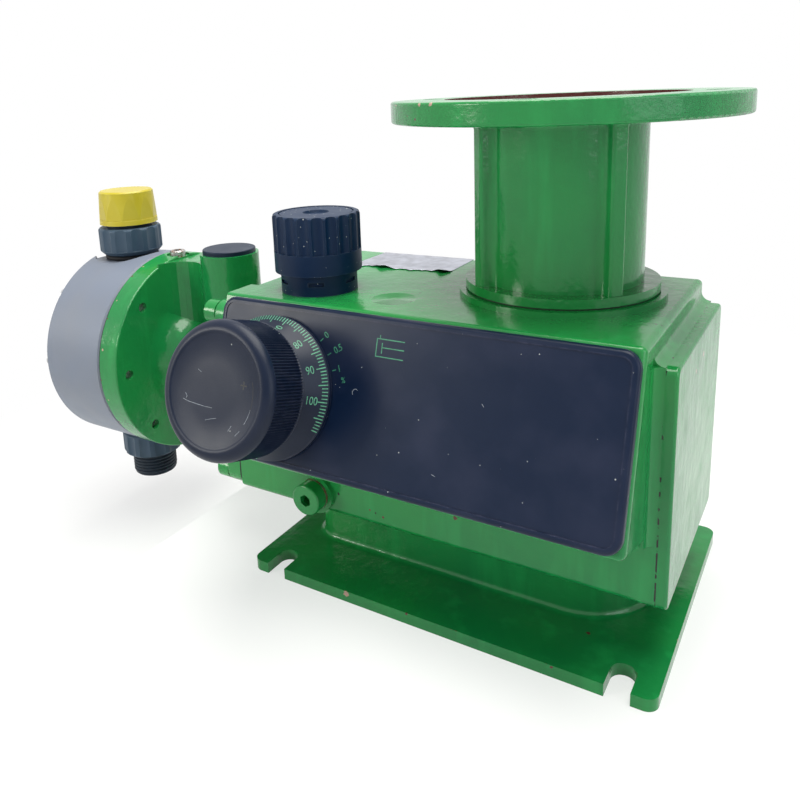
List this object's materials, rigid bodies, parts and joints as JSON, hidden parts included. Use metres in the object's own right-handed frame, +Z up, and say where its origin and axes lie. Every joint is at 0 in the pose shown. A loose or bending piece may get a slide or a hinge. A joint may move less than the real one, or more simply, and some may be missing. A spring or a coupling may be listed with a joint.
{
  "type": "diaphragm metering pump",
  "caption": "Green motor-driven diaphragm metering pump without its motor: gear housing with sloping panel and stroke knob, motor flange, filler cap, grey dosing head and base plate.",
  "frame": {"origin": "centre of the base plate's underside, where the pump is bolted down", "axes": "+Z up, along the motor flange's axis; +X from the dosing head to the gear housing's end cover; the sloping panel with the stroke knob faces -Y"},
  "size_m": [0.4038, 0.2155, 0.2565],
  "materials": {
    "green_paint": "glossy machine enamel",
    "zinc_steel": "zinc plated",
    "panel_black": "satin moulded",
    "knob_black": "satin moulded",
    "bronze": "machined",
    "bright_steel": "ground",
    "spring_steel": "oiled",
    "gasket_sheet": "fibre sheet",
    "seal_rubber": "moulded",
    "black_plastic_cap": "moulded plastic",
    "plug_black": "moulded",
    "head_grey": "machined PVC",
    "valve_dark": "moulded PVC",
    "nut_grey": "moulded PVC",
    "ball_glass": "polished ceramic",
    "cap_yellow": "moulded polyethylene"
  },
  "bodies": {
    "pump_frame": {"base_foot": "green_paint", "foot_screws": "zinc_steel", "gear_housing": "green_paint", "end_cover": "green_paint", "panel_cover": "panel_black", "spindle_bush": "bronze", "motor_adaptor": "green_paint", "adaptor_gasket": "gasket_sheet", "adaptor_screws": "zinc_steel", "filler_neck": "black_plastic_cap", "drain_washer": "seal_rubber", "pump_carrier": "green_paint", "carrier_gasket": "gasket_sheet", "carrier_screws": "green_paint", "flange_screw": "zinc_steel", "plunger_guides": "bronze", "plunger_seal": "seal_rubber", "diaphragm": "seal_rubber", "dosing_head": "head_grey", "head_washers": "zinc_steel", "head_bolts": "zinc_steel", "discharge_valve": "valve_dark", "suction_valve": "valve_dark", "discharge_seat": "valve_dark", "suction_seat": "valve_dark", "discharge_oring": "seal_rubber", "suction_oring": "seal_rubber", "bearing_outer_rings": "bright_steel", "worm_seal": "seal_rubber", "spring_seat": "bright_steel", "return_spring": "spring_steel"},
    "stroke_adjuster": {"stroke_knob": "knob_black", "dial_disc": "knob_black", "stroke_spindle": "bright_steel", "stroke_cam": "bright_steel"},
    "vent_cap": {"filler_cap": "black_plastic_cap"},
    "drain": {"drain_plug": "green_paint"},
    "plug": {"tube_plug": "plug_black"},
    "worm": {"worm_shaft": "bright_steel", "drive_coupling": "bright_steel", "worm_inner_rings": "bright_steel"},
    "wheel": {"worm_wheel": "bronze", "wheel_shaft": "bright_steel", "eccentric": "bright_steel", "eccentric_ring": "bright_steel", "wheel_inner_rings": "bright_steel"},
    "plunger_unit": {"plunger": "bright_steel", "stop_collar": "bright_steel", "diaphragm_core": "bright_steel"},
    "upper_nut": {"discharge_nut": "nut_grey"},
    "lower_nut": {"suction_nut": "nut_grey"},
    "shipping_cap": {"transport_cap": "cap_yellow"},
    "upper_ball": {"discharge_ball": "ball_glass"},
    "lower_ball": {"suction_ball": "ball_glass"}
  },
  "joints": [
    {"name": "wheel_spin", "type": "hinge", "parent": "pump_frame", "child": "wheel", "pos_m": [-0.00225, 0, 0.0887], "axis": [0, 1, 0], "continuous": true},
    {"name": "worm_spin", "type": "hinge", "parent": "pump_frame", "child": "worm", "pos_m": [0.0385, 0.0041, 0.0887], "axis": [0, 0, 1], "continuous": true},
    {"name": "plunger_slide", "type": "slide", "parent": "pump_frame", "child": "plunger_unit", "axis": [-1, 0, 0], "range_m": [-0.0074, 0]},
    {"name": "stroke_setting", "type": "hinge", "parent": "pump_frame", "child": "stroke_adjuster", "pos_m": [-0.0756, -0.08242, 0.11424], "axis": [0, 0.9532, -0.3024], "range_deg": [-48.6, 221.4]},
    {"name": "vent_cap_turn", "type": "hinge", "parent": "pump_frame", "child": "vent_cap", "pos_m": [-0.0758, -0.0379, 0.17], "axis": [0, 0, 1], "range_deg": [0, 90]},
    {"name": "drain_plug_turn", "type": "hinge", "parent": "pump_frame", "child": "drain", "pos_m": [-0.074, -0.06, 0.0446], "axis": [0, -1, 0], "continuous": true},
    {"name": "tube_plug_pull", "type": "slide", "parent": "pump_frame", "child": "plug", "axis": [0, 0, 1], "range_m": [0, 0.011]},
    {"name": "discharge_nut_turn", "type": "hinge", "parent": "pump_frame", "child": "upper_nut", "pos_m": [-0.26, 0, 0.16], "axis": [0, 0, 1], "continuous": true},
    {"name": "suction_nut_turn", "type": "hinge", "parent": "pump_frame", "child": "lower_nut", "pos_m": [-0.26, 0, 0.015], "axis": [0, 0, 1], "continuous": true},
    {"name": "shipping_cap_turn", "type": "hinge", "parent": "pump_frame", "child": "shipping_cap", "pos_m": [-0.26, 0, 0.18], "axis": [0, 0, 1], "continuous": true},
    {"name": "discharge_ball_lift", "type": "slide", "parent": "pump_frame", "child": "upper_ball", "axis": [0, 0, 1], "range_m": [0, 0.002]},
    {"name": "suction_ball_lift", "type": "slide", "parent": "pump_frame", "child": "lower_ball", "axis": [0, 0, 1], "range_m": [0, 0.002]}
  ],
  "couplings": [
    {"joint": "worm_spin", "follows": "wheel_spin", "ratio": 23}
  ]
}
